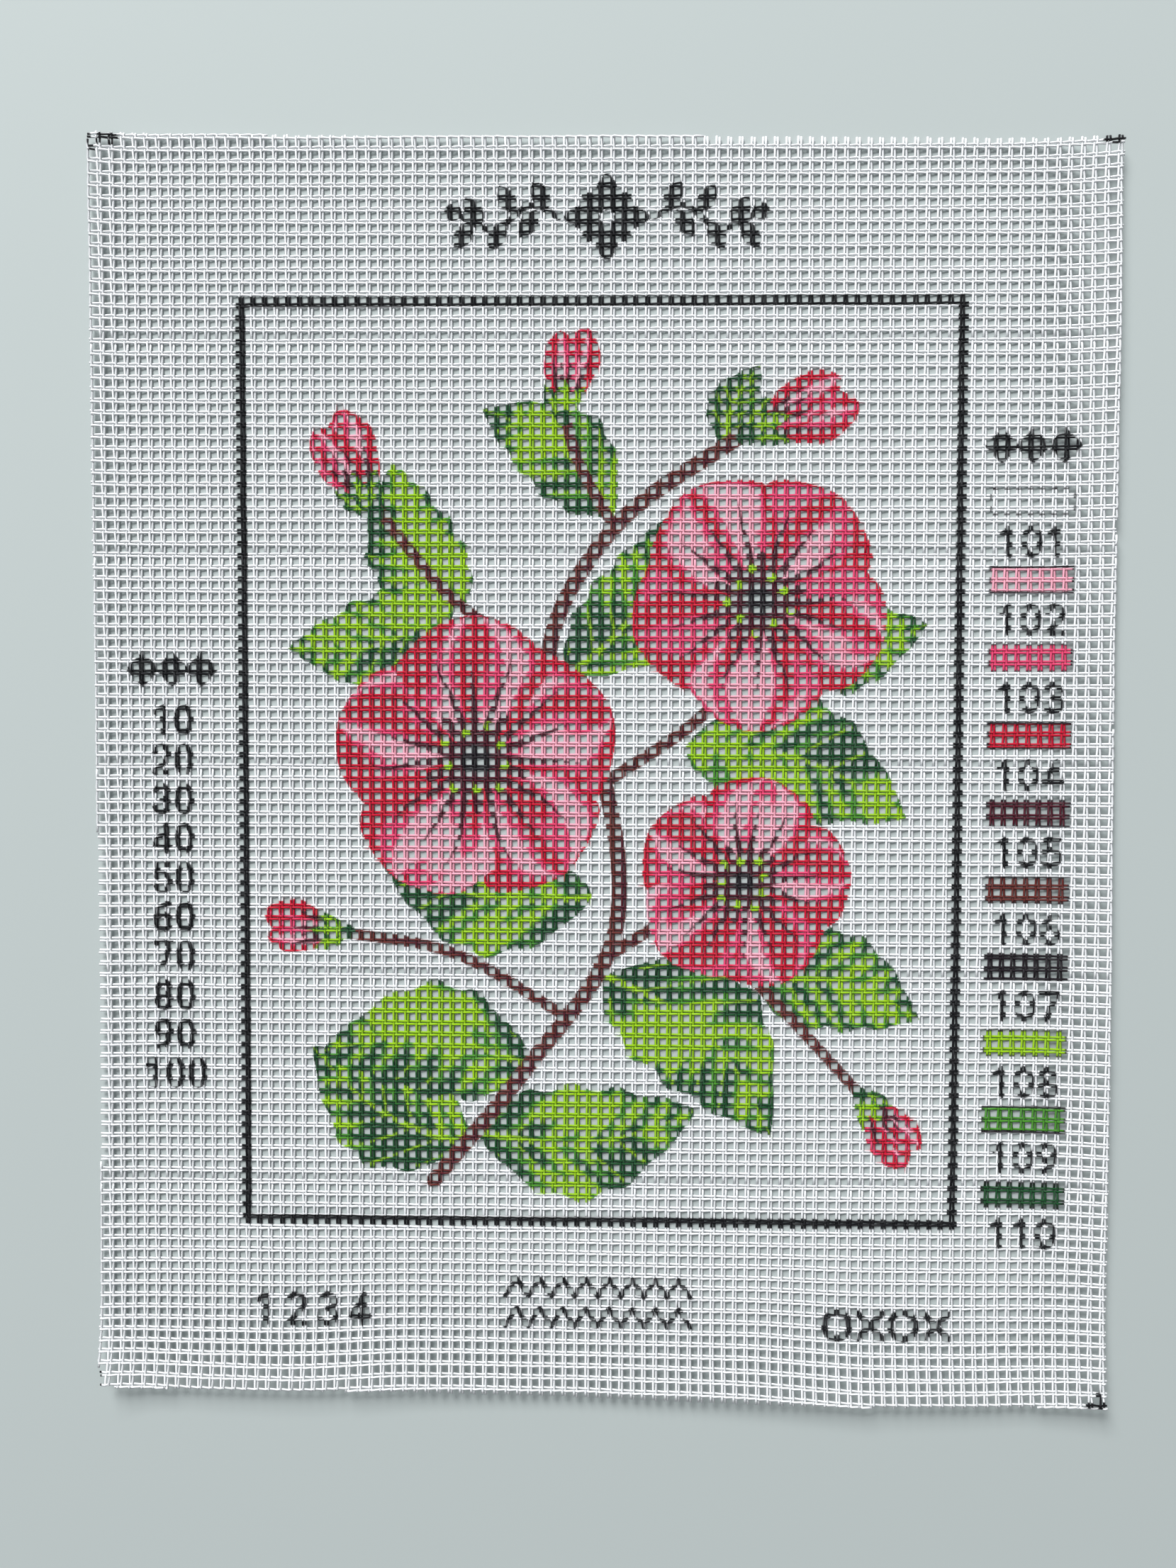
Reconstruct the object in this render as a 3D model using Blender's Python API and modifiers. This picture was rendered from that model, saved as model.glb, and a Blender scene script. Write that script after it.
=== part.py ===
# Needlepoint canvas panel: one cut piece of double-thread canvas, lying face up.
# Metres, +Z up, +Y towards the panel's top edge. The origin is under the middle of the panel,
# on the surface it rests on.

import math

import bmesh
import bpy
from mathutils import Vector

COLLECTION_NAME = "needlepoint_canvas_panel"

# The cut outline, measured corner to corner and a little out of square.
TOP_WIDTH = 0.2806
BOTTOM_WIDTH = 0.2820
LEFT_HEIGHT = 0.3484
RIGHT_HEIGHT = 0.3469
GRAIN_DROP = 0.0028          # how far the top and bottom edges fall from left to right
SIDE_LEAN = 0.0001           # how far the left edge leans out at its foot

# Each cut edge bows out by "bow" at its middle and swings by "wave" about its quarter points.
EDGE_SHAPES = {
    "top": {"bow": 0.0, "wave": -0.0003},
    "bottom": {"bow": 0.0006, "wave": -0.0009},
    "left": {"bow": -0.0006, "wave": -0.0005},
    "right": {"bow": -0.0002, "wave": 0.0002},
}

CLOTH_THICKNESS = 0.001

# Edges that spring clear of the table: height at the edge, and how far in the curl starts.
EDGE_LIFTS = {
    "top": {"rise": 0.0006, "band": 0.012},
    "bottom": {"rise": 0.0030, "band": 0.034},
    "left": {"rise": 0.0010, "band": 0.016},
    "right": {"rise": 0.0024, "band": 0.028},
}
LIFT_UNEVENNESS = 0.22       # share by which a lift swells and fades along its edge
LIFT_SWELLS = 1.7            # swells along one edge

# The lower left corner is dog-eared: worn round, and curled up.
WORN_CORNER_PULL = 0.0016
WORN_CORNER_REACH = 0.0050
WORN_CORNER_RISE = 0.0016
WORN_CORNER_CURL = 0.018

GRID_COLUMNS = 30
GRID_ROWS = 36
FLAT_ANGLE = math.radians(0.02)

CANVAS_COLOR = (0.80, 0.82, 0.85, 1.0)
CANVAS_ROUGHNESS = 0.85


def clear_scene():
    for scene_object in list(bpy.data.objects):
        bpy.data.objects.remove(scene_object, do_unlink=True)


def make_material(name, color, roughness):
    material = bpy.data.materials.new(name)
    material.use_nodes = True
    shader = material.node_tree.nodes["Principled BSDF"]
    shader.inputs["Base Color"].default_value = color
    shader.inputs["Roughness"].default_value = roughness
    shader.inputs["Metallic"].default_value = 0.0
    return material


def panel_corners():
    half_top = TOP_WIDTH / 2
    half_bottom = BOTTOM_WIDTH / 2
    half_drop = GRAIN_DROP / 2
    return {
        "top_left": Vector((-half_top, LEFT_HEIGHT / 2 + half_drop)),
        "top_right": Vector((half_top, RIGHT_HEIGHT / 2 - half_drop)),
        "bottom_left": Vector((-half_bottom - SIDE_LEAN / 2, -LEFT_HEIGHT / 2 + half_drop)),
        "bottom_right": Vector((half_bottom - SIDE_LEAN / 2, -RIGHT_HEIGHT / 2 - half_drop)),
    }


def edge_swing(edge, along):
    """How far an edge stands out from the straight line between its corners."""
    shape = EDGE_SHAPES[edge]
    return shape["bow"] * math.sin(math.pi * along) + shape["wave"] * math.sin(2 * math.pi * along)


def outline_point(across, up):
    """Place of a point of the cloth, from its shares of the way across and up the panel."""
    corners = panel_corners()
    top = corners["top_left"].lerp(corners["top_right"], across)
    bottom = corners["bottom_left"].lerp(corners["bottom_right"], across)
    point = bottom.lerp(top, up)
    point.y += up * edge_swing("top", across) - (1 - up) * edge_swing("bottom", across)
    point.x += across * edge_swing("right", up) - (1 - across) * edge_swing("left", up)
    worn = point - corners["bottom_left"]
    pull = WORN_CORNER_PULL * math.exp(-((worn.length / WORN_CORNER_REACH) ** 2))
    return point + Vector((pull, pull))


def edge_lift(edge, inset, along):
    """Height that an edge's curl gives a point, from its distance in and its place along."""
    lift = EDGE_LIFTS[edge]
    if inset >= lift["band"]:
        return 0.0
    swell = 1 + LIFT_UNEVENNESS * math.sin(2 * math.pi * LIFT_SWELLS * along + len(edge))
    return lift["rise"] * swell * (1 - inset / lift["band"]) ** 2


def cloth_height(across, up):
    insets = {
        "top": (1 - up) * LEFT_HEIGHT,
        "bottom": up * LEFT_HEIGHT,
        "left": across * TOP_WIDTH,
        "right": (1 - across) * TOP_WIDTH,
    }
    height = 0.0
    for edge, inset in insets.items():
        along = across if edge in ("top", "bottom") else up
        height += edge_lift(edge, inset, along)
    corner_distance = math.hypot(insets["left"], insets["bottom"])
    curl = max(0.0, 1 - corner_distance / WORN_CORNER_CURL)
    return height + WORN_CORNER_RISE * curl ** 2


def closer_at_edges(share):
    """Spaces the grid lines closely at the edges, where the cloth curls, and widely between."""
    return (1 + math.sin(math.pi / 2 * (2 * share - 1))) / 2


def make_canvas(collection, material):
    bpy.ops.mesh.primitive_grid_add(x_subdivisions=GRID_COLUMNS, y_subdivisions=GRID_ROWS, size=1)
    canvas = bpy.context.object
    canvas.name = "canvas"
    canvas.data.name = "canvas"
    sheet = bmesh.new()
    sheet.from_mesh(canvas.data)
    for vertex in sheet.verts:
        across = closer_at_edges(vertex.co.x + 0.5)
        up = closer_at_edges(vertex.co.y + 0.5)
        place = outline_point(across, up)
        vertex.co = Vector((place.x, place.y, cloth_height(across, up)))
    sheet.to_mesh(canvas.data)
    sheet.free()
    center_on_box(canvas.data)

    thickness = canvas.modifiers.new("cloth_thickness", "SOLIDIFY")
    thickness.thickness = CLOTH_THICKNESS
    thickness.offset = 1.0
    flat_middle = canvas.modifiers.new("flat_middle", "DECIMATE")
    flat_middle.decimate_type = "DISSOLVE"
    flat_middle.angle_limit = FLAT_ANGLE

    canvas.data.materials.append(material)
    for owner in list(canvas.users_collection):
        owner.objects.unlink(canvas)
    collection.objects.link(canvas)
    return canvas


def center_on_box(mesh):
    """Moves the sheet so that its outline's box is centred over the origin."""
    xs = [vertex.co.x for vertex in mesh.vertices]
    ys = [vertex.co.y for vertex in mesh.vertices]
    middle = Vector(((min(xs) + max(xs)) / 2, (min(ys) + max(ys)) / 2, 0.0))
    for vertex in mesh.vertices:
        vertex.co -= middle


def main():
    clear_scene()
    collection = bpy.data.collections.new(COLLECTION_NAME)
    bpy.context.scene.collection.children.link(collection)
    canvas_material = make_material("canvas_cotton", CANVAS_COLOR, CANVAS_ROUGHNESS)
    make_canvas(collection, canvas_material)


main()
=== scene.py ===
import math

import bpy
import numpy as np
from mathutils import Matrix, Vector
from mathutils.bvhtree import BVHTree


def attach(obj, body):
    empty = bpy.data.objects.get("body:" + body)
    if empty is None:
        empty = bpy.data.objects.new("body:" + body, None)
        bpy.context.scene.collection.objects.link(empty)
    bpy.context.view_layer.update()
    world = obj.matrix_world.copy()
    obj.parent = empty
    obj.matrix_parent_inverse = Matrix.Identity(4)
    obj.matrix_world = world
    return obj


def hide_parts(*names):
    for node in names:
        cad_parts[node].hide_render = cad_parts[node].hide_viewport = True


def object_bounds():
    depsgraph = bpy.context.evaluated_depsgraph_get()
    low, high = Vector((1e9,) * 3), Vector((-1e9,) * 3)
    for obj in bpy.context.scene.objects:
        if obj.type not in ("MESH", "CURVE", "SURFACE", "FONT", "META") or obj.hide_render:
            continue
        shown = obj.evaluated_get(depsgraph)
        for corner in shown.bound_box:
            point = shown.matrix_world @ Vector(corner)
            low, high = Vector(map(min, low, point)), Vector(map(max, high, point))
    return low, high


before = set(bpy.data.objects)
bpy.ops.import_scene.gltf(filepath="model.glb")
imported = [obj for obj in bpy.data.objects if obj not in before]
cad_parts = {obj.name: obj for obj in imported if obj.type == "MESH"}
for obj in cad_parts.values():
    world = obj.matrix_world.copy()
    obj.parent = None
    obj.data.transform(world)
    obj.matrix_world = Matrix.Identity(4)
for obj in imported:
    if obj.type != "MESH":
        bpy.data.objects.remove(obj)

cadLow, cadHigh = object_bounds()
mm = 0.001
rng = np.random.default_rng(41)


def srgb(red, green, blue):
    share = np.array((red, green, blue)) / 255
    return np.where(share <= 0.04045, share / 12.92, ((share + 0.055) / 1.055) ** 2.4)


def smooth(value, low, high):
    share = np.clip((value - low) / (high - low), 0, 1)
    return share * share * (3 - 2 * share)


# camera, table and light

view = {
    "place": (2.04 * mm, 8.25 * mm, 314.6 * mm),
    "turn": (-1.91, 0.97, 0.14),   # degrees
    "lens": 26.04,
    "sensor": 36.0,
    "nearest": 0.01,
}


def makeCamera():
    data = bpy.data.cameras.new("overheadCamera")
    data.lens = view["lens"]
    data.sensor_width = view["sensor"]
    data.sensor_fit = "AUTO"
    data.clip_start = view["nearest"]
    camera = bpy.data.objects.new("overheadCamera", data)
    camera.location = view["place"]
    camera.rotation_euler = [math.radians(angle) for angle in view["turn"]]
    bpy.context.scene.collection.objects.link(camera)
    bpy.context.scene.camera = camera


table = {
    "size": 4.0,
    "color": srgb(173, 181, 181),
    "roughness": 0.75,
    "gloss": 0.15,
}


def makeTable():
    bpy.ops.mesh.primitive_plane_add(size=table["size"], location=(0, 0, 0))
    top = bpy.context.object
    top.name = "tableTop"
    material = bpy.data.materials.new("paleTable")
    material.use_nodes = True
    shader = material.node_tree.nodes["Principled BSDF"]
    shader.inputs["Base Color"].default_value = (*table["color"], 1)
    shader.inputs["Roughness"].default_value = table["roughness"]
    shader.inputs["Specular IOR Level"].default_value = table["gloss"]
    top.data.materials.append(material)


lights = [
    {"name": "windowLight", "place": (-0.95, 2.5, 1.8), "size": 1.4, "watts": 171.0,
     "color": (1.0, 1.0, 0.99)},
    {"name": "fillLight", "place": (-0.9, -0.9, 1.6), "size": 1.6, "watts": 3.0,
     "color": (0.96, 0.98, 1.0)},
]
sky = {"color": (0.94, 0.98, 1.0), "strength": 0.36}


def makeLights():
    for row in lights:
        data = bpy.data.lights.new(row["name"], "AREA")
        data.shape = "SQUARE"
        data.size = row["size"]
        data.energy = row["watts"]
        data.color = row["color"]
        lamp = bpy.data.objects.new(row["name"], data)
        lamp.location = row["place"]
        lamp.rotation_euler = (-Vector(row["place"])).to_track_quat("-Z", "Y").to_euler()
        bpy.context.scene.collection.objects.link(lamp)
    world = bpy.data.worlds.new("softRoom")
    world.use_nodes = True
    background = world.node_tree.nodes["Background"]
    background.inputs["Color"].default_value = (*sky["color"], 1)
    background.inputs["Strength"].default_value = sky["strength"]
    bpy.context.scene.world = world
    bpy.context.scene.view_settings.view_transform = "Standard"
    bpy.context.scene.view_settings.look = "None"


makeCamera()
makeTable()
makeLights()
print("camera, table and light ready")


# the cloth's rise and cut outline, read from the upper faces of the CAD sheet

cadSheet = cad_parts["canvas"].data
upperFaces = [tuple(face.vertices) for face in cadSheet.polygons if face.normal.z > 0.5]
sheetTree = BVHTree.FromPolygons([vertex.co.copy() for vertex in cadSheet.vertices], upperFaces)
rayStart = cadHigh.z + 10 * mm
downward = Vector((0, 0, -1))


def sheetTop(x, y):
    hit = sheetTree.ray_cast(Vector((x, y, rayStart)), downward)[0]
    return None if hit is None else hit.z


def cutPlace(inside, outside, steps=9):   # where the line between two points crosses the cut outline
    kept = np.array(inside[:2])
    lost = np.array(outside[:2])
    for _ in range(steps):
        middle = (kept + lost) / 2
        if sheetTop(*middle) is None:
            lost = middle
        else:
            kept = middle
    return kept


# the weave: every crossing of a warp and a weft thread

weave = {
    "warpPairs": 89,
    "weftPairs": 111,
    "warpPitch": 3.182 * mm,
    "weftPitch": 3.226 * mm,
    "firstWarp": -139.7 * mm,     # middle of the first pair from the left
    "firstWeft": -177.4 * mm,     # middle of the first pair from the bottom
    "pairSpread": 0.80 * mm,      # between the two threads of a pair
    "threadWidth": 0.66 * mm,
    "threadHeight": 0.44 * mm,
    "crimp": 0.20 * mm,           # how far a thread rides over or under the middle
    "clothDrop": 0.58 * mm,       # the threads' middle, below the CAD sheet's top
    "shortestRun": 5,             # crossings
    "cutJitter": 0.16 * mm,
    "cutRise": 0.7,               # share of the crimp at a cut end
}
wander = {   # steps are in crossings
    "pair": 0.10 * mm,
    "thread": 0.055 * mm,
    "warpStep": 9,
    "weftStep": 11,
    "threadStep": 2.2,
}
grain = {   # how the handled cloth has left a straight grid
    "halfWidth": 140 * mm,
    "halfHeight": 175 * mm,
    "driftX": (0.0, 0.0, -0.3, 0.25, -0.6, -0.2),    # mm, by 1, across, up, their product, their squares
    "driftY": (-1.1, -0.2, 1.0, -0.1, 0.15, -0.1),
    "flare": 0.018,                                  # warps spread towards the bottom
    "lean": 0.4 * mm,                                # and lean to the left there
    "leanFrom": 40 * mm,
    "bottom": 178 * mm,
}
bottomRows = {   # the lowest rows sink to the right and are pushed up at the left and in the middle
    "from": 95 * mm,
    "fall": 2.0 * mm,
    "fallLeft": -60 * mm,
    "fallRight": 95 * mm,
    "recovery": 0.9 * mm,
    "recoveryLeft": 100 * mm,
    "recoveryRight": 142 * mm,
    "cornerFrom": 148 * mm,
    "cornerRise": 2.2 * mm,
    "cornerEdge": -141 * mm,
    "cornerReach": 28 * mm,
    "middleFrom": 120 * mm,
    "middleFull": 160 * mm,
    "middleRise": 1.5 * mm,
    "middle": -5 * mm,
    "middleReach": 85 * mm,
    "middleFlat": 45 * mm,
}


def slowNoise(count, step):   # one smooth random line, about -1 to 1
    knots = rng.uniform(-1, 1, int(count / step) + 4)
    at = np.arange(count) / step + rng.uniform(0, 1)
    low = at.astype(int)
    share = smooth(at - low, 0, 1)
    return knots[low] * (1 - share) + knots[low + 1] * share


def rowShift(x, y):
    rows = bottomRows
    fall = -rows["fall"] * smooth(x, rows["fallLeft"], rows["fallRight"])
    fall = fall + rows["recovery"] * smooth(x, rows["recoveryLeft"], rows["recoveryRight"])
    corner = rows["cornerRise"] * np.exp(-np.clip(x - rows["cornerEdge"], 0, None) / rows["cornerReach"])
    middle = rows["middleRise"] * smooth(-y, rows["middleFrom"], rows["middleFull"])
    middle = middle * smooth(-np.abs(x - rows["middle"]), -rows["middleReach"], -rows["middleFlat"])
    return (fall * smooth(-y, rows["from"], grain["bottom"])
            + corner * smooth(-y, rows["cornerFrom"], grain["bottom"]) + middle)


def grainPlace(x, y):   # from a straight grid to the cloth as it lies
    across = x / grain["halfWidth"]
    up = y / grain["halfHeight"]
    terms = (1, across, up, across * up, across ** 2, up ** 2)
    driftX = mm * sum(share * term for share, term in zip(grain["driftX"], terms))
    driftY = mm * sum(share * term for share, term in zip(grain["driftY"], terms))
    lean = grain["lean"] * smooth(-y, grain["leanFrom"], grain["bottom"])
    return x * (1 - grain["flare"] * y) - lean + driftX, y + rowShift(x, y) + driftY


def pairedLines(count, first, pitch):   # with one pair more at each edge
    middles = first + (np.arange(count + 2) - 1) * pitch
    half = weave["pairSpread"] / 2
    return np.stack([middles - half, middles + half], 1).ravel()


def wanderOn(lines, pairStep):   # the two threads of a pair wander together, and each a little by itself
    for number, line in enumerate(lines):
        if number % 2 == 0:
            pairLine = slowNoise(len(line), pairStep) * wander["pair"]
        line += pairLine + slowNoise(len(line), wander["threadStep"]) * wander["thread"]


def makeLattice():
    warpLines = pairedLines(weave["warpPairs"], weave["firstWarp"], weave["warpPitch"])
    weftLines = pairedLines(weave["weftPairs"], weave["firstWeft"], weave["weftPitch"])
    x, y = grainPlace(*np.meshgrid(warpLines, weftLines, indexing="ij"))
    wanderOn(x, wander["warpStep"])
    wanderOn(y.T, wander["weftStep"])
    tops = np.full(x.shape, np.nan)
    for place in np.ndindex(x.shape):
        height = sheetTop(x[place], y[place])
        if height is not None:
            tops[place] = height
    warpOver = np.add.outer(np.arange(x.shape[0]), np.arange(x.shape[1])) % 2 == 0
    return {"x": x, "y": y, "top": tops, "warpOver": warpOver}


lattice = makeLattice()
print("weave crossings placed", lattice["x"].shape)


# the thread paths, cut at the outline

def runsInside(inside):   # first and last-plus-one crossing of each stretch that lies inside the outline
    changes = np.flatnonzero(np.diff(np.concatenate([[0], inside.astype(int), [0]])))
    return [(start, end) for start, end in zip(changes[::2], changes[1::2])
            if end - start >= weave["shortestRun"] and start > 0 and end < len(inside)]


def cutEnd(inside, outside, over):   # the thread's end, between its last crossing and the next
    flat = cutPlace(inside, outside)
    length = np.linalg.norm(outside[:2] - inside[:2])
    along = (outside[:2] - inside[:2]) / max(length, 1e-9)
    flat = flat + along * rng.uniform(-1, 1) * weave["cutJitter"]
    share = min(np.linalg.norm(flat - inside[:2]) / length, 1.0)
    rise = weave["crimp"] * (1 if over else -1) * share * weave["cutRise"]
    return np.array([flat[0], flat[1], inside[3] + rise, inside[3]])


def threadPaths(kind):
    paths = []
    lines = lattice["x"].shape[0 if kind == "warp" else 1]
    for number in range(lines):
        pick = (number, slice(None)) if kind == "warp" else (slice(None), number)
        over = lattice["warpOver"][pick] if kind == "warp" else ~lattice["warpOver"][pick]
        middle = lattice["top"][pick] - weave["clothDrop"]
        height = middle + np.where(over, 1, -1) * weave["crimp"]
        line = np.stack([lattice["x"][pick], lattice["y"][pick], height, middle], 1)
        for start, end in runsInside(~np.isnan(middle)):
            first = cutEnd(line[start], line[start - 1], over[start - 1])
            last = cutEnd(line[end - 1], line[end], over[end])
            points = np.vstack([first, line[start:end], last])
            paths.append({"kind": kind, "number": number, "start": start, "points": points[:, :3],
                          "under": np.concatenate([[False], ~over[start:end], [False]])})
    return paths


warps = threadPaths("warp")
wefts = threadPaths("weft")
print("threads cut:", len(warps), "warps and", len(wefts), "wefts")


# the printed design, in millimetres from the middle of the printed frame

printPlace = {"x": -0.2, "y": 2.3}
edgeSoft = 0.16     # how far an ink edge bleeds
farAway = 1e9

inks = {
    "bare": srgb(224, 226, 229),
    "black": srgb(8, 8, 14),
    "pale": srgb(226, 158, 176),
    "pink": srgb(208, 62, 104),
    "crimson": srgb(182, 8, 44),
    "maroon": srgb(70, 12, 30),
    "brown": srgb(92, 38, 34),
    "dusk": srgb(24, 16, 24),
    "lime": srgb(138, 182, 14),
    "leaf": srgb(64, 128, 36),
    "forest": srgb(18, 68, 34),
}


def blankPrint(x, y):
    return {"x": x, "y": y, "color": np.zeros((len(x), 3)), "cover": np.zeros(len(x))}


def near(ink, x, y, reachX, reachY):
    return np.flatnonzero((np.abs(ink["x"] - x) < reachX) & (np.abs(ink["y"] - y) < reachY))


def lay(ink, where, color, cover):   # lays a colour over what is printed already
    cover = np.clip(cover, 0, 1)
    was = ink["cover"][where]
    total = cover + was * (1 - cover)
    safe = np.maximum(total, 1e-6)[:, None]
    mixed = color * cover[:, None] + ink["color"][where] * (was * (1 - cover))[:, None]
    ink["color"][where] = mixed / safe
    ink["cover"][where] = total


def mixIn(color, name, share):
    return color * (1 - share[:, None]) + inks[name] * share[:, None]


def edge(distance, soft=edgeSoft):   # ink cover from a signed distance, negative inside
    return np.clip(0.5 - distance / soft, 0, 1)


def segmentDistance(x, y, segments):
    best = np.full(len(x), farAway)
    for ax, ay, bx, by in segments:
        dx, dy = bx - ax, by - ay
        share = np.clip(((x - ax) * dx + (y - ay) * dy) / max(dx * dx + dy * dy, 1e-9), 0, 1)
        best = np.minimum(best, np.hypot(x - ax - share * dx, y - ay - share * dy))
    return best


def arcStroke(cx, cy, rx, ry, start, end, steps=14):
    angles = np.radians(np.linspace(start, end, steps + 1))
    points = np.stack([cx + rx * np.cos(angles), cy + ry * np.sin(angles)], 1)
    return np.hstack([points[:-1], points[1:]]).tolist()


def curvePoints(controls, steps=10):   # a smooth line through the given points
    points = np.array(controls, float)
    ends = np.vstack([2 * points[0] - points[1], points, 2 * points[-1] - points[-2]])
    line = []
    for place in range(1, len(ends) - 2):
        a, b, c, d = ends[place - 1:place + 3]
        for share in np.linspace(0, 1, steps, endpoint=False):
            line.append(0.5 * (2 * b + (c - a) * share + (2 * a - 5 * b + 4 * c - d) * share ** 2
                               + (3 * b - a - 3 * c + d) * share ** 3))
    line.append(points[-1])
    return np.array(line)


digitStrokes = {   # each figure in a cell one unit high
    "0": arcStroke(0.31, 0.50, 0.26, 0.46, 0, 360, 20),
    "1": [[0.12, 0.76, 0.36, 0.96], [0.36, 0.96, 0.36, 0.04]],
    "2": arcStroke(0.31, 0.69, 0.25, 0.27, 165, -38) + [[0.507, 0.524, 0.06, 0.04], [0.06, 0.04, 0.58, 0.04]],
    "3": arcStroke(0.30, 0.72, 0.22, 0.24, 160, -80) + arcStroke(0.30, 0.27, 0.26, 0.23, 90, -160),
    "4": [[0.45, 0.04, 0.45, 0.96], [0.45, 0.96, 0.04, 0.28], [0.04, 0.28, 0.61, 0.28]],
    "5": [[0.55, 0.96, 0.15, 0.96], [0.15, 0.96, 0.09, 0.52]] + arcStroke(0.30, 0.33, 0.27, 0.29, 140, -150),
    "6": arcStroke(0.31, 0.31, 0.25, 0.27, 0, 360, 18) + arcStroke(0.50, 0.36, 0.44, 0.60, 88, 176),
    "7": [[0.05, 0.96, 0.58, 0.96], [0.58, 0.96, 0.24, 0.04]],
    "8": arcStroke(0.31, 0.73, 0.20, 0.23, 0, 360, 16) + arcStroke(0.31, 0.27, 0.25, 0.23, 0, 360, 16),
    "9": arcStroke(0.31, 0.69, 0.25, 0.27, 0, 360, 18) + arcStroke(0.12, 0.64, 0.44, 0.60, -92, -4),
}
figures = {"advance": 0.80, "width": 0.62, "reachX": 0.55, "reachY": 0.65, "stroke": 1.65}


def printNumber(ink, text, x, y, height):
    advance = figures["advance"] * height
    left = x - advance * len(text) / 2 + (figures["advance"] - figures["width"]) / 2 * height
    for place, figure in enumerate(text):
        cx = left + place * advance
        where = near(ink, cx + figures["width"] / 2 * height, y, height * figures["reachX"],
                     height * figures["reachY"])
        if len(where) == 0:
            continue
        u = (ink["x"][where] - cx) / height
        v = (ink["y"][where] - y) / height + 0.5
        distance = segmentDistance(u, v, digitStrokes[figure]) * height
        lay(ink, where, inks["black"], edge(distance - figures["stroke"] / 2))


def printBox(ink, x, y, width, height, outline, color=None, outlineInk="dusk"):
    where = near(ink, x, y, width / 2 + 2, height / 2 + 2)
    dx = np.abs(ink["x"][where] - x) - width / 2
    dy = np.abs(ink["y"][where] - y) - height / 2
    distance = np.maximum(dx, dy)
    if color is not None:
        lay(ink, where, inks[color], edge(distance))
    lay(ink, where, inks[outlineInk], edge(np.abs(distance) - outline / 2))


def printLines(ink, segments, width, color="black"):
    points = np.array(segments).reshape(-1, 2)
    low, high = points.min(0) - 2, points.max(0) + 2
    where = near(ink, *(low + high) / 2, *(high - low) / 2)
    distance = segmentDistance(ink["x"][where], ink["y"][where], segments)
    lay(ink, where, inks[color], edge(distance - width / 2))


def printCurve(ink, line, width, color="black"):
    printLines(ink, np.hstack([line[:-1], line[1:]]).tolist(), width, color)


def printDiamond(ink, x, y, width, height):
    where = near(ink, x, y, width, height)
    dx = np.abs(ink["x"][where] - x) / (width / 2)
    dy = np.abs(ink["y"][where] - y) / (height / 2)
    lay(ink, where, inks["black"], edge((dx + dy - 1) * min(width, height) / 2 * 0.72))


def printSpot(ink, x, y, radius, color):
    where = near(ink, x, y, radius + 1, radius + 1)
    ratio = np.hypot((ink["x"][where] - x) / radius, (ink["y"][where] - y) / radius)
    lay(ink, where, inks[color], edge((ratio - 1) * radius))


def turned(ink, where, x, y, angle):
    dx = ink["x"][where] - x
    dy = ink["y"][where] - y
    c, s = math.cos(math.radians(angle)), math.sin(math.radians(angle))
    return dx * c + dy * s, -dx * s + dy * c


def patches(x, y, seed):   # a slow mottle, about -1 to 1
    draw = np.random.default_rng(seed)
    total = np.zeros(len(x))
    for _ in range(5):
        angle, phase, pace = draw.uniform(0, 6.28), draw.uniform(0, 6.28), draw.uniform(0.7, 1.9)
        total += np.sin((x * math.cos(angle) + y * math.sin(angle)) * pace + phase)
    return total / 2.6


def tones(value, steps, blend=0.05):   # flat tones by rising levels, with a quick change between two
    color = np.repeat(inks[steps[0][1]][None, :], len(value), 0)
    for level, name in steps[1:]:
        color = mixIn(color, name, smooth(value, level - blend, level + blend))
    return color


leafPrint = {
    "tones": [(0, "lime"), (0.36, "leaf"), (0.60, "forest")],
    "base": 0.56,
    "patch": 7.5,          # mm
    "mottle": 0.46,
    "rim": 0.30,
    "streak": 0.24,
    "middle": 0.20,        # lighter in the middle
    "veins": 6.5,
    "veinSlant": 0.9,
    "rib": 0.9,
    "veinWidth": 0.45,
    "softVein": 0.5,
}


def printLeaf(ink, x, y, angle, length, width, bend, seed):
    where = near(ink, x, y, length * 1.15, length * 1.15)
    u, v = turned(ink, where, x, y, angle)
    along = u / length
    inside = (along > -0.02) & (along < 1.02)
    where, u, v, along = where[inside], u[inside], v[inside], along[inside]
    reach = np.clip(along, 0, 1)
    v = v - bend * length * np.sin(math.pi * reach)
    half = width / 2 * np.sin(math.pi * reach ** 0.82) ** 0.85 * (1 + 0.07 * np.sin(reach * 30 + seed))
    distance = np.abs(v) - half
    mottle = patches(u / leafPrint["patch"], v / leafPrint["patch"], seed) * leafPrint["mottle"]
    side = np.where(v > 0, 0.10, -0.12)
    rim = smooth(distance, -3.2, -0.2) * leafPrint["rim"]
    veinPlace = (u - np.abs(v) * leafPrint["veinSlant"]) / length * leafPrint["veins"]
    streak = -leafPrint["streak"] * np.cos(veinPlace * math.tau + mottle * 5)
    tone = leafPrint["base"] + mottle + side + rim + streak - leafPrint["middle"] * np.sin(reach * math.pi)
    rib = edge(np.abs(v) - leafPrint["rib"] * (1.1 - reach), leafPrint["softVein"])
    veinDistance = np.abs(veinPlace - np.round(veinPlace)) * length / leafPrint["veins"]
    vein = edge(veinDistance - leafPrint["veinWidth"], leafPrint["softVein"])
    vein *= (distance < -1.5) & (reach > 0.08) & (reach < 0.9)
    color = mixIn(tones(tone, leafPrint["tones"]), "lime", np.maximum(rib, vein * 0.8))
    lay(ink, where, color, edge(distance))


petalPrint = {
    "tones": [(0, "pale"), (0.24, "pink"), (0.57, "crimson")],
    "base": 0.56,
    "wave": 0.34,
    "fineWave": 0.16,
    "mottle": 0.24,
    "rim": 0.34,
    "core": 0.34,          # paler in the middle
    "root": 0.22,
    "veins": (-0.42, 0.02, 0.40),
    "veinWidth": 2.6,
    "veinTip": 0.74,
    "veinEnd": 0.72,
}


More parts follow.
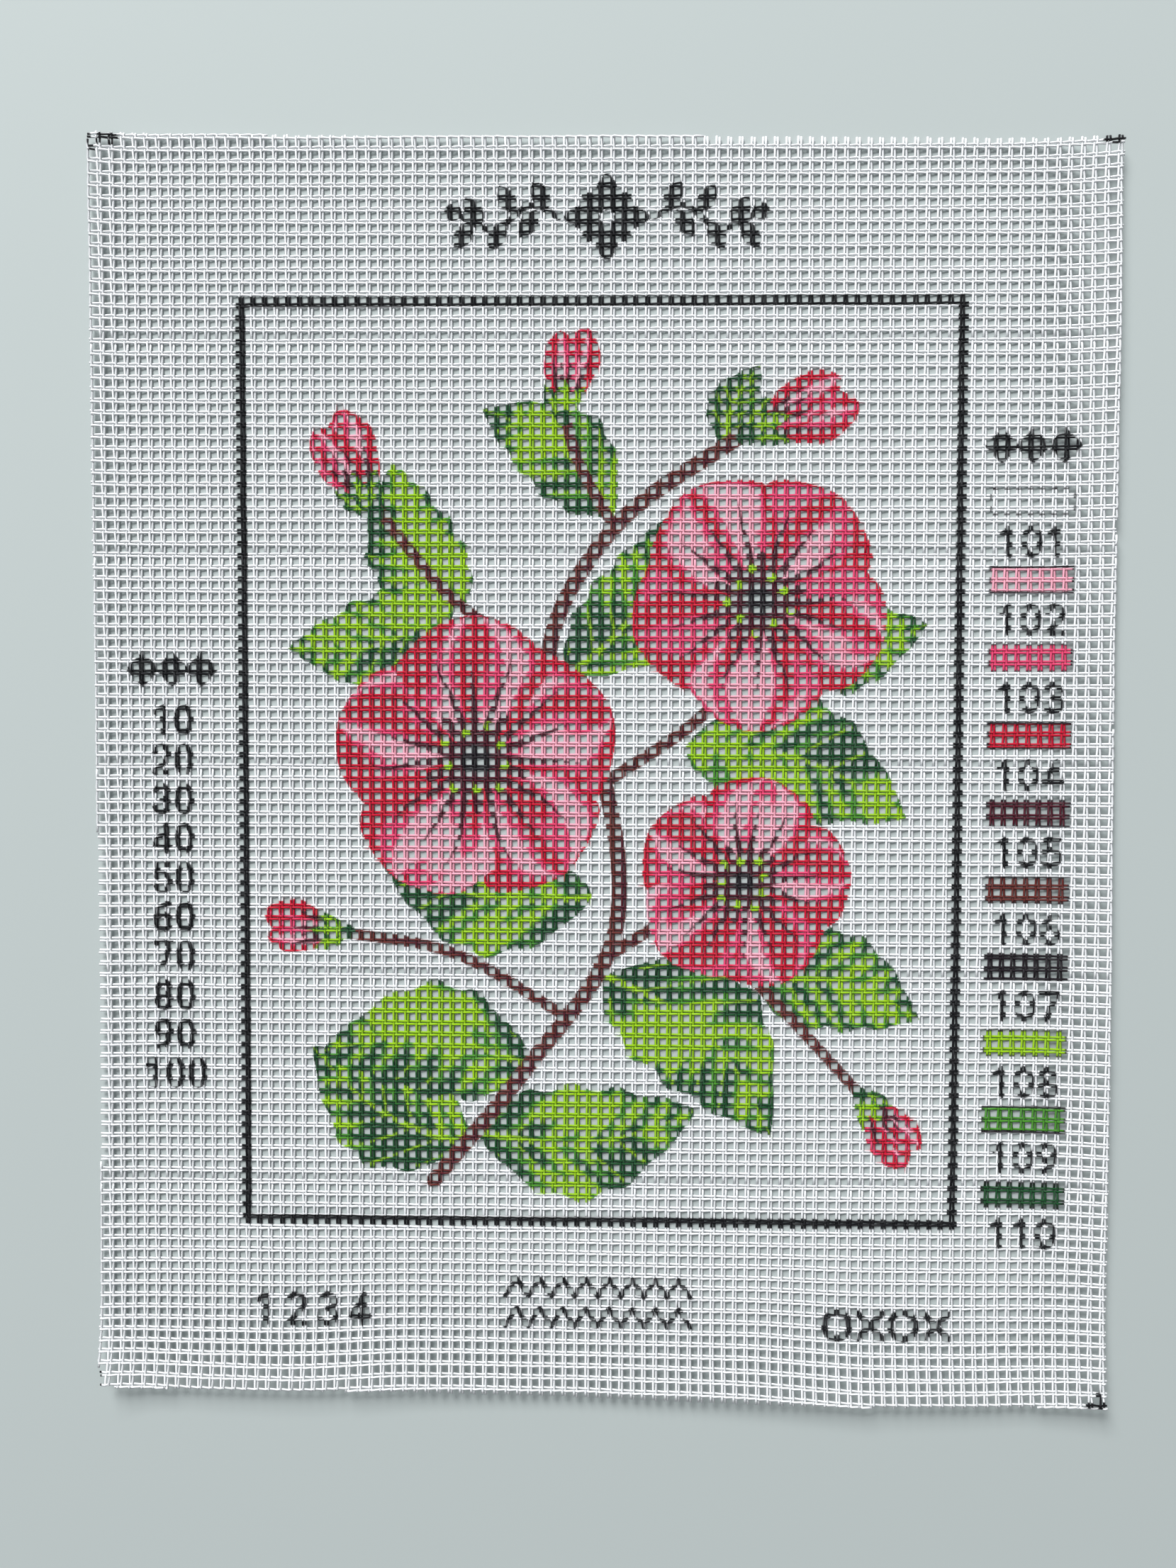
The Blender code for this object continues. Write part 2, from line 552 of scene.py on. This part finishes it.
def printPetal(ink, x, y, angle, length, width, seed, shade):
    where = near(ink, x, y, length * 1.1, length * 1.1)
    u, v = turned(ink, where, x, y, angle)
    along = u / length
    inside = (along > 0) & (along < 1.0)
    where, v, along = where[inside], v[inside], along[inside]
    half = width / 2 * np.sin(math.pi * along ** 1.55) ** 0.62 * (1 + 0.05 * np.sin(along * 16 + seed))
    distance = np.abs(v) - half
    across = v / np.maximum(half, 0.1)
    wave = np.sin(across * 6.3 + seed * 1.7 + along * 2.0) * petalPrint["wave"]
    wave += np.sin(across * 13 + seed * 3.1) * petalPrint["fineWave"]
    mottle = patches(along * 4.2, across * 1.6, seed) * petalPrint["mottle"]
    rim = smooth(distance, -2.8, -0.3) * petalPrint["rim"]
    core = petalPrint["core"] * np.sin(along * math.pi) * (1 - across ** 2)
    tone = petalPrint["base"] + wave + mottle + rim - core + shade + petalPrint["root"] * (1 - along)
    color = tones(tone, petalPrint["tones"])
    veinHalf = petalPrint["veinWidth"] * np.clip(petalPrint["veinTip"] - along, 0, 1)
    for vein in petalPrint["veins"]:
        line = np.abs(across - vein * (0.5 + along)) * half
        color = mixIn(color, "maroon", edge(line - veinHalf, 0.4) * (along < petalPrint["veinEnd"]))
    lay(ink, where, color, edge(distance))


eye = {"tip": 0.34, "ray": 0.07, "outer": 0.17, "inner": 0.11, "dots": 9, "dotReach": 0.20, "dotStep": 0.05,
       "dotRadius": 1.2}   # shares of the blossom's radius, but for the dots


def printBlossom(ink, x, y, radius, turn, seed):
    for order, petal in enumerate((0, 2, 4, 1, 3)):
        printPetal(ink, x, y, turn + petal * 72, radius, radius * 1.02, seed + petal, 0.10 - 0.05 * order)
    for point in range(5):
        angle = math.radians(turn + 36 + point * 72)
        tip = (x + radius * eye["tip"] * math.cos(angle), y + radius * eye["tip"] * math.sin(angle))
        printLines(ink, [[x, y, *tip]], radius * eye["ray"], "maroon")
    printSpot(ink, x, y, radius * eye["outer"], "maroon")
    printSpot(ink, x, y, radius * eye["inner"], "dusk")
    for dot in range(eye["dots"]):
        angle = math.radians(turn + dot * 360 / eye["dots"] + 11)
        reach = radius * (eye["dotReach"] + eye["dotStep"] * (dot % 2))
        printSpot(ink, x + reach * math.cos(angle), y + reach * math.sin(angle), eye["dotRadius"], "lime")


def printBud(ink, x, y, angle, length, seed):
    printPetal(ink, x, y, angle - 9, length, length * 0.46, seed, 0.12)
    printPetal(ink, x, y, angle + 8, length * 0.94, length * 0.40, seed + 3, -0.08)
    for spread in (-32, 32, 0):
        printLeaf(ink, x - 0.5, y, angle + spread, length * 0.42, length * 0.17, 0.05, seed + spread)
    printSpot(ink, x, y, length * 0.09, "forest")


def printStem(ink, width, line):
    curve = curvePoints(line)
    printCurve(ink, curve, width, "brown")
    printCurve(ink, curve + (width * 0.28, 0), width * 0.3, "maroon")   # its shaded side


stems = [
    {"width": 4.4, "line": [(-46, -116), (-20, -84), (4, -48), (2, -6), (-14, 30), (4, 66), (40, 92)]},
    {"width": 3.4, "line": [(0, -54), (24, -40), (44, -36)]},
    {"width": 3.4, "line": [(2, -4), (28, 14), (46, 36)]},
    {"width": 3.1, "line": [(-14, 30), (-40, 46), (-62, 72)]},
    {"width": 3.1, "line": [(4, 66), (-6, 84), (-10, 98)]},
    {"width": 3.1, "line": [(-8, -70), (-40, -52), (-72, -46)]},
    {"width": 3.1, "line": [(24, -40), (50, -66), (74, -92)]},
]
leaves = [
    {"x": -36, "y": -106, "angle": 148, "length": 52, "width": 30, "bend": 0.10},
    {"x": -34, "y": -102, "angle": 6, "length": 62, "width": 32, "bend": -0.10},
    {"x": -18, "y": -84, "angle": 176, "length": 60, "width": 32, "bend": -0.10},
    {"x": 2, "y": -58, "angle": -44, "length": 64, "width": 36, "bend": 0.12},
    {"x": 44, "y": -60, "angle": -12, "length": 46, "width": 28, "bend": 0.12},
    {"x": -2, "y": -36, "angle": 168, "length": 62, "width": 32, "bend": 0.10},
    {"x": 24, "y": 6, "angle": -18, "length": 64, "width": 34, "bend": 0.10},
    {"x": -8, "y": 26, "angle": 58, "length": 50, "width": 27, "bend": -0.12},
    {"x": -38, "y": 44, "angle": 116, "length": 44, "width": 26, "bend": 0.12},
    {"x": -40, "y": 46, "angle": 196, "length": 48, "width": 27, "bend": 0.12},
    {"x": 4, "y": 70, "angle": 142, "length": 46, "width": 25, "bend": -0.10},
    {"x": 34, "y": 88, "angle": 66, "length": 24, "width": 14, "bend": 0.10},
    {"x": 46, "y": 38, "angle": 2, "length": 44, "width": 26, "bend": -0.12},
]
blossoms = [
    {"x": -34, "y": 2, "radius": 40, "turn": 20},
    {"x": 44, "y": 46, "radius": 36, "turn": 52},
    {"x": 40, "y": -32, "radius": 30, "turn": 5},
]
buds = [
    {"x": -62, "y": 70, "angle": 118, "length": 30},
    {"x": -10, "y": 96, "angle": 84, "length": 25},
    {"x": 40, "y": 91, "angle": 24, "length": 32},
    {"x": -70, "y": -46, "angle": 176, "length": 24},
    {"x": 73, "y": -91, "angle": -50, "length": 24},
]


def printPicture(ink):
    for seed, row in enumerate(leaves):
        printLeaf(ink, **row, seed=seed * 5 + 2)
    for row in stems:
        printStem(ink, **row)
    for seed, row in enumerate(blossoms):
        printBlossom(ink, **row, seed=seed * 11 + 3)
    for seed, row in enumerate(buds):
        printBud(ink, **row, seed=seed * 7 + 40)


border = {"width": 200.6, "height": 257.9, "line": 2.9}
leftNumbers = {"x": -118.7, "top": 13.0, "step": 11.0, "height": 7.8}
colorKey = {"x": 118.1, "top": 73.0, "step": 21.3, "width": 22.3, "height": 7.0, "outline": 0.65,
            "labelDrop": 10.9, "labelHeight": 8.0, "firstLabel": 101}
keyColors = (None, "pale", "pink", "crimson", "maroon", "brown", "dusk", "lime", "leaf", "forest")


def printBorder(ink):
    line = border["line"]
    printBox(ink, 0, 0, border["width"] - line, border["height"] - line, line, outlineInk="black")


def printKey(ink):
    for row, color in enumerate(keyColors):
        y = colorKey["top"] - row * colorKey["step"]
        printBox(ink, colorKey["x"], y, colorKey["width"], colorKey["height"], colorKey["outline"], color)
        label = str(colorKey["firstLabel"] + row)
        printNumber(ink, label, colorKey["x"], y - colorKey["labelDrop"], colorKey["labelHeight"])
        leftY = leftNumbers["top"] - row * leftNumbers["step"]
        printNumber(ink, str(10 + 10 * row), leftNumbers["x"], leftY, leftNumbers["height"])


heading = {
    "x": 1.7,
    "y": 150.0,
    "stem": 1.7,
    "bends": ((13, 0), (21, 3.2), (31, -3.2), (42, 1.5)),
    "leaves": ((16, 2, 62), (19, 2, -58), (25, 1, 60), (28, -1, -64), (34, -2, 58), (37, -1, -60)),
    "leafSize": (8.8, 5.0),
    "longRay": (10.5, 6.2),
    "shortRay": (8.0, 4.6),
    "rayStart": 1.5,
    "endSpot": 2.4,
}


def printLeaflet(ink, x, y, angle, length, width):
    where = near(ink, x, y, length * 1.1, length * 1.1)
    u, v = turned(ink, where, x, y, angle)
    share = np.clip(u / length, 0, 1)
    sides = np.abs(v) - width / 2 * np.sin(math.pi * share) ** 0.8
    lay(ink, where, inks["black"], edge(np.maximum(sides, np.maximum(-u, u - length))))


def printHeading(ink):   # a star between two leafy sprays
    x, y = heading["x"], heading["y"]
    for ray in range(8):
        angle = math.radians(ray * 45)
        start = (x + heading["rayStart"] * math.cos(angle), y + heading["rayStart"] * math.sin(angle))
        printLeaflet(ink, *start, ray * 45, *heading["shortRay" if ray % 2 else "longRay"])
    for side in (-1, 1):
        line = curvePoints([(x + side * along, y + rise) for along, rise in heading["bends"]])
        printCurve(ink, line, heading["stem"])
        for along, rise, lean in heading["leaves"]:
            angle = lean if side > 0 else 180 - lean
            printLeaflet(ink, x + side * along, y + rise, angle, *heading["leafSize"])
        endAlong, endRise = heading["bends"][-1]
        printSpot(ink, x + side * endAlong, y + endRise, heading["endSpot"], "black")


def printDiamondRow(ink, x, y, step, width, height):   # three side by side
    for spot in (-1, 0, 1):
        printDiamond(ink, x + spot * step, y, width, height)


bottomNumbers = {"text": "1234", "x": -94, "y": -152.8, "step": 9, "height": 8.8}
zigzags = {"x": -26, "rows": (-146.3, -154.6), "tall": 5.0, "step": 3.25, "turns": 17, "line": 1.4}
tokens = {"x": 67, "y": -156, "step": 9.2, "radius": 3.6, "reach": 3.4, "line": 1.8}


def printRing(ink, x, y, radius, width):
    printLines(ink, arcStroke(x, y, radius, radius, 0, 360, 24), width)


def printCross(ink, x, y, reach, width):
    left, right, low, high = x - reach, x + reach, y - reach, y + reach
    printLines(ink, [[left, low, right, high], [left, high, right, low]], width)


def printOrnaments(ink):
    printHeading(ink)
    printDiamondRow(ink, leftNumbers["x"], 27, 8.2, 9.6, 10.2)
    printDiamondRow(ink, colorKey["x"], 88, 8.4, 9.6, 10.0)
    for place, figure in enumerate(bottomNumbers["text"]):
        x = bottomNumbers["x"] + place * bottomNumbers["step"]
        printNumber(ink, figure, x, bottomNumbers["y"], bottomNumbers["height"])
    turns = np.arange(zigzags["turns"])
    for y in zigzags["rows"]:
        rises = np.where(turns % 2 == 0, -zigzags["tall"] / 2, zigzags["tall"] / 2)
        line = np.stack([zigzags["x"] + turns * zigzags["step"], y + rises], 1)
        printCurve(ink, line, zigzags["line"])
    for place in range(4):
        x = tokens["x"] + place * tokens["step"]
        if place % 2 == 0:
            printRing(ink, x, tokens["y"], tokens["radius"], tokens["line"])
        else:
            printCross(ink, x, tokens["y"], tokens["reach"], tokens["line"])


cornerLine = 1.5
cornerMarks = {   # strokes of marking ink: start from the sheet's corner, then run
    (0, 1): ((0.8, -1.0, 1.2, -4.6), (3.4, -2.6, 3.6, 1.6), (4.0, -1.0, 4.2, -0.4), (5.0, -3.0, 2.4, 0.2)),
    (1, 1): ((-6.4, -3.4, 5.0, 0.2), (-4.4, -2.4, 1.0, -3.0), (-2.8, -2.6, 0.2, -2.6),
             (-5.6, -4.6, 4.4, 0.4)),
    (0, 0): ((0.9, 8.0, 0.6, -4.4), (1.4, 3.8, 3.8, -0.9)),
    (1, 0): ((-5.2, 1.7, 4.6, 0.5), (-2.4, 4.8, 0.4, -3.4)),
}


def printCornerMarks(ink):
    sides = ((np.array((cadLow, cadHigh))[:, :2]) / mm) - (printPlace["x"], printPlace["y"])
    for (right, top), strokes in cornerMarks.items():
        for offsetX, offsetY, dx, dy in strokes:
            x, y = sides[right, 0] + offsetX, sides[top, 1] + offsetY
            printLines(ink, [[x, y, x + dx, y + dy]], cornerLine)


def printAt(x, y):
    ink = blankPrint(x / mm - printPlace["x"], y / mm - printPlace["y"])
    printPicture(ink)
    printBorder(ink)
    printKey(ink)
    printOrnaments(ink)
    printCornerMarks(ink)
    return ink


# rings along each thread: at the crossings, and wherever the print changes

rings = {"samples": 8, "passes": 3, "tolerance": 0.11, "eyeGamma": 0.4545}


def bareAndInk(ink, cover):
    return inks["bare"] * (1 - cover[:, None]) + ink["color"] * cover[:, None]


def neededSamples(shown):   # adds the samples that a straight blend between kept ones would miss most
    rows, samples = np.arange(len(shown)), shown.shape[1] - 1
    order = np.arange(samples + 1)
    kept = np.zeros(shown.shape[:2], bool)
    kept[:, [0, -1]] = True
    for _ in range(rings["passes"]):
        before = np.maximum.accumulate(np.where(kept, order, 0), 1)
        after = np.minimum.accumulate(np.where(kept, order, samples)[:, ::-1], 1)[:, ::-1]
        share = ((order - before) / np.maximum(after - before, 1))[..., None]
        straight = (np.take_along_axis(shown, before[..., None], 1) * (1 - share)
                    + np.take_along_axis(shown, after[..., None], 1) * share)
        error = np.abs(shown - straight).max(2)
        worst = error.argmax(1)
        needed = error[rows, worst] > rings["tolerance"]
        kept[rows[needed], worst[needed]] = True
    return kept


def chooseRings(paths):
    shares = (np.arange(rings["samples"] + 1) / rings["samples"])[None, :, None]
    starts = np.vstack([path["points"][:-1] for path in paths])
    ends = np.vstack([path["points"][1:] for path in paths])
    line = starts[:, None, :] * (1 - shares) + ends[:, None, :] * shares
    ink = printAt(line[..., 0].ravel(), line[..., 1].ravel())
    kept = neededSamples((bareAndInk(ink, ink["cover"]) ** rings["eyeGamma"]).reshape(line.shape))
    at = 0
    for path in paths:
        count = len(path["points"]) - 1
        inner = kept[at:at + count, :-1]
        points = line[at:at + count, :-1][inner]
        path["rings"] = np.vstack([points, path["points"][-1]])
        path["nodeRings"] = np.append(np.flatnonzero(np.nonzero(inner)[1] == 0), len(points))
        at += count


chooseRings(warps)
chooseRings(wefts)
print("rings:", sum(len(path["rings"]) for path in warps + wefts))


# six bands of cloth, each a mesh of its warp and weft threads

bands = {
    "count": 6,
    "bareBack": 0.42,      # how much of the print shows on a thread's underside
    "toneSpread": 0.03,
    "missed": 0.06,
}
bakeStrips = {"margin": 0.5 * mm, "gap": 1.0 * mm, "cap": 0.4 * mm, "spare": 1.05, "low": 0.08, "tall": 0.84}


def bandEdges():   # bands are parted between pairs, by weft number
    numbers = sorted(path["number"] for path in wefts)
    first, last = numbers[0], numbers[-1]
    edges = np.linspace(first, last + 1, bands["count"] + 1)
    edges = (np.round(edges / 2) * 2).astype(int)
    edges[0] = first
    edges[-1] = last + 1
    return edges


def ringAtWeft(path, weft):   # the ring where a warp dives under this weft, or else the next
    nodes = path["nodeRings"]
    count = len(nodes) - 2
    place = weft - path["start"] + 1
    if place < 1:
        return 0
    if place <= count and not path["under"][place]:
        place += 1
    return nodes[min(place, count + 1)]


def bandPieces(band, edges):
    low, high = edges[band], edges[band + 1]
    pieces = [(path, 0, len(path["rings"]) - 1) for path in wefts if low <= path["number"] < high]
    for path in warps:
        first = 0 if band == 0 else ringAtWeft(path, low)
        last = len(path["rings"]) - 1 if band == bands["count"] - 1 else ringAtWeft(path, high)
        if last > first:
            pieces.append((path, first, last))
    return pieces


def ringCorners(path, first, last):   # top, side, underside and other side of each ring
    points = path["rings"][first:last + 1]
    across = np.array((1, 0, 0)) if path["kind"] == "warp" else np.array((0, 1, 0))
    side = across * weave["threadWidth"] / 2
    lift = np.array((0, 0, weave["threadHeight"] / 2))
    turn = -1 if path["kind"] == "warp" else 1   # so that the faces look outwards
    return np.stack([points + lift, points + side * turn, points - lift, points - side * turn], 1)


def layStrips(pieces):   # threads end to end in the rows of the baking map
    row, used = 0, bakeStrips["margin"]
    rowLength = (cadHigh.x - cadLow.x) * bakeStrips["spare"]
    strips = []
    for path, first, last in pieces:
        steps = np.linalg.norm(np.diff(path["rings"][first:last + 1], axis=0), axis=1)
        length = steps.sum()
        if used + length > rowLength:
            row += 1
            used = bakeStrips["margin"]
        strips.append((row, used, np.concatenate([[0], np.cumsum(steps)])))
        used += length + bakeStrips["gap"]
    return strips, row + 1, rowLength + 2 * bakeStrips["margin"]


def tubeFaces(base, count):   # four long faces between each two rings, then the two cut ends
    ringStart = base + np.arange(count - 1)[:, None] * 4
    side = np.arange(4)[None, :]
    nextSide = (side + 1) % 4
    quads = np.stack([ringStart + side, ringStart + nextSide,
                      ringStart + 4 + nextSide, ringStart + 4 + side], 2).reshape(-1, 4)
    caps = np.array([[3, 2, 1, 0], [4 * (count - 1) + corner for corner in range(4)]]) + base
    return [quads, caps]


def tubeMaps(path, strip, rows, stripWidth):
    row, used, along = strip
    count = len(along)
    side = np.arange(4)[None, :]
    around = np.stack([side, side + 1, side + 1, side], 2).repeat(count - 1, 0) / 4
    lengths = np.stack([along[:-1], along[:-1], along[1:], along[1:]], 1)[:, None, :].repeat(4, 1)
    twistPhase = (path["number"] * 0.37) % 1
    twist = [np.stack([lengths / mm, around + twistPhase], 3).reshape(-1, 2)]
    bakeV = (row + bakeStrips["low"] + around * bakeStrips["tall"]) / rows
    bake = [np.stack([(used + lengths) / stripWidth, bakeV], 3).reshape(-1, 2)]
    for reach, ringAlong in ((-1, along[0]), (1, along[-1])):
        square = np.array([(0, 0.1), (0, 0.9), (1, 0.9), (1, 0.1)])
        capU = (used + ringAlong + square[:, 0] * reach * bakeStrips["cap"]) / stripWidth
        bake.append(np.stack([capU, (row + square[:, 1]) / rows], 1))
        twist.append(np.stack([np.full(4, ringAlong / mm), np.arange(4) / 4], 1))
    return twist, bake


def meshFrom(name, corners, faces, maps):
    mesh = bpy.data.meshes.new(name)
    mesh.vertices.add(len(corners))
    mesh.vertices.foreach_set("co", corners.astype(np.float32).ravel())
    mesh.loops.add(faces.size)
    mesh.loops.foreach_set("vertex_index", faces.astype(np.int32).ravel())
    mesh.polygons.add(len(faces))
    mesh.polygons.foreach_set("loop_start", np.arange(len(faces), dtype=np.int32) * 4)
    mesh.update(calc_edges=True)
    mesh.polygons.foreach_set("use_smooth", np.ones(len(faces), bool))
    for mapName, values in maps:
        layer = mesh.uv_layers.new(name=mapName)
        layer.uv.foreach_set("vector", np.vstack(values).astype(np.float32).ravel())
    return mesh


def paintThreads(mesh, corners, tone):
    ink = printAt(corners[:, 0], corners[:, 1])
    under = np.tile([1.0, 1.0, bands["bareBack"], 1.0], len(corners) // 4)
    missed = bands["missed"] * rng.random(len(corners)) ** 3
    cover = ink["cover"] * under * (1 - missed)
    color = np.clip(bareAndInk(ink, cover) * tone[:, None], 0, 1)
    layer = mesh.color_attributes.new(name="printInk", type="FLOAT_COLOR", domain="POINT")
    layer.data.foreach_set("color", np.hstack([color, cover[:, None]]).astype(np.float32).ravel())


def makeBand(band, edges, material):
    pieces = bandPieces(band, edges)
    strips, rows, stripWidth = layStrips(pieces)
    corners, faces, twistMap, bakeMap, threadTones = [], [], [], [], []
    base = 0
    for (path, first, last), strip in zip(pieces, strips):
        tube = ringCorners(path, first, last)
        count = len(tube)
        twist, bake = tubeMaps(path, strip, rows, stripWidth)
        twistMap += twist
        bakeMap += bake
        corners.append(tube.reshape(-1, 3))
        faces += tubeFaces(base, count)
        threadTones.append(np.full(count * 4, 1 + rng.uniform(-1, 1) * bands["toneSpread"]))
        base += count * 4
    corners = np.vstack(corners)
    faces = np.vstack(faces)
    name = f"canvas_band_{band + 1}"
    mesh = meshFrom(name, corners, faces, (("OFBake", bakeMap), ("threadMap", twistMap)))
    paintThreads(mesh, corners, np.concatenate(threadTones))
    mesh.materials.append(material)
    mesh.validate()
    piece = bpy.data.objects.new(name, mesh)
    bpy.context.scene.collection.objects.link(piece)
    return piece, len(faces) * 2


# finishes

def nodeIn(tree, kind, place, **values):
    node = tree.nodes.new(kind)
    node.location = place
    for name, value in values.items():
        setattr(node, name, value)
    return node


def mathIn(tree, operation, place, *feeds):   # a math node fed by sockets or plain numbers
    node = nodeIn(tree, "ShaderNodeMath", place, operation=operation)
    for socket, feed in zip(node.inputs, feeds):
        if isinstance(feed, float):
            socket.default_value = feed
        else:
            tree.links.new(feed, socket)
    return node.outputs[0]


def makeTwistGroup():   # the plies of a twisted thread, from a map of its length and its way round
    group = bpy.data.node_groups.new("threadTwist", "ShaderNodeTree")
    group.interface.new_socket("Thread Map", in_out="INPUT", socket_type="NodeSocketVector")
    group.interface.new_socket("Plies", in_out="INPUT", socket_type="NodeSocketFloat")
    group.interface.new_socket("Turns per mm", in_out="INPUT", socket_type="NodeSocketFloat")
    group.interface.new_socket("Height", in_out="OUTPUT", socket_type="NodeSocketFloat")
    group.interface.new_socket("Groove", in_out="OUTPUT", socket_type="NodeSocketFloat")
    source = nodeIn(group, "NodeGroupInput", (-900, 0))
    split = nodeIn(group, "ShaderNodeSeparateXYZ", (-700, 0))
    group.links.new(source.outputs["Thread Map"], split.inputs[0])
    turns = mathIn(group, "MULTIPLY", (-500, 100), split.outputs["X"], source.outputs["Turns per mm"])
    phase = mathIn(group, "ADD", (-340, 60), turns, split.outputs["Y"])
    plied = mathIn(group, "MULTIPLY", (-180, 60), phase, source.outputs["Plies"])
    wave = mathIn(group, "FRACT", (-20, 60), plied)
    fromMiddle = mathIn(group, "SUBTRACT", (140, 60), wave, 0.5)
    distance = mathIn(group, "ABSOLUTE", (300, 60), fromMiddle)
    squared = mathIn(group, "POWER", (460, 60), distance, 2.0)
    groove = mathIn(group, "MULTIPLY", (620, 60), squared, 4.0)
    height = mathIn(group, "SUBTRACT", (780, 120), 1.0, groove)
    target = nodeIn(group, "NodeGroupOutput", (960, 0))
    group.links.new(height, target.inputs["Height"])
    group.links.new(groove, target.inputs["Groove"])
    return group


cotton = {
    "roughness": 0.9,
    "gloss": 0.2,
    "sheen": 0.02,
    "sheenRoughness": 0.4,
    "plies": 2.0,
    "turns": 0.85,         # per mm
    "bump": 0.35,
    "depth": 0.05 * mm,
    # painted shade: how far the thread's colour is darkened towards a grey tint in the grooves between its
    # plies
    "groove": 0.16,
    "grooveShadeTint": (0.45, 0.45, 0.48),
}


def makeCotton():
    material = bpy.data.materials.new("printedCotton")
    material.use_nodes = True
    tree = material.node_tree
    link = tree.links.new
    shader = tree.nodes["Principled BSDF"]
    shader.inputs["Roughness"].default_value = cotton["roughness"]
    shader.inputs["Specular IOR Level"].default_value = cotton["gloss"]
    shader.inputs["Sheen Weight"].default_value = cotton["sheen"]
    shader.inputs["Sheen Roughness"].default_value = cotton["sheenRoughness"]
    ink = nodeIn(tree, "ShaderNodeAttribute", (-900, 200), attribute_name="printInk")
    threadMap = nodeIn(tree, "ShaderNodeUVMap", (-900, -100), uv_map="threadMap")
    plies = nodeIn(tree, "ShaderNodeGroup", (-700, -100), node_tree=makeTwistGroup())
    plies.inputs["Plies"].default_value = cotton["plies"]
    plies.inputs["Turns per mm"].default_value = cotton["turns"]
    # painted shade: the base colour is darkened in the grooves between the plies, where shade would fall
    grooveShadeShare = mathIn(tree, "MULTIPLY", (-480, 0), plies.outputs["Groove"], cotton["groove"])
    grooveShaded = nodeIn(tree, "ShaderNodeMix", (-300, 200), data_type="RGBA", blend_type="MULTIPLY")
    grooveShaded.inputs["B"].default_value = (*cotton["grooveShadeTint"], 1)
    bump = nodeIn(tree, "ShaderNodeBump", (-300, -200))
    bump.inputs["Strength"].default_value = cotton["bump"]
    bump.inputs["Distance"].default_value = cotton["depth"]
    link(threadMap.outputs["UV"], plies.inputs["Thread Map"])
    link(grooveShadeShare, grooveShaded.inputs["Factor"])
    link(ink.outputs["Color"], grooveShaded.inputs["A"])
    link(grooveShaded.outputs["Result"], shader.inputs["Base Color"])
    link(plies.outputs["Height"], bump.inputs["Height"])
    link(bump.outputs["Normal"], shader.inputs["Normal"])
    return material


printedCotton = makeCotton()
edges = bandEdges()
total = 0
for band in range(bands["count"]):
    piece, triangles = makeBand(band, edges, printedCotton)
    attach(piece, "root")
    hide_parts("canvas")
    total += triangles
    print(piece.name, "has", triangles, "triangles")
print("all bands:", total, "triangles")
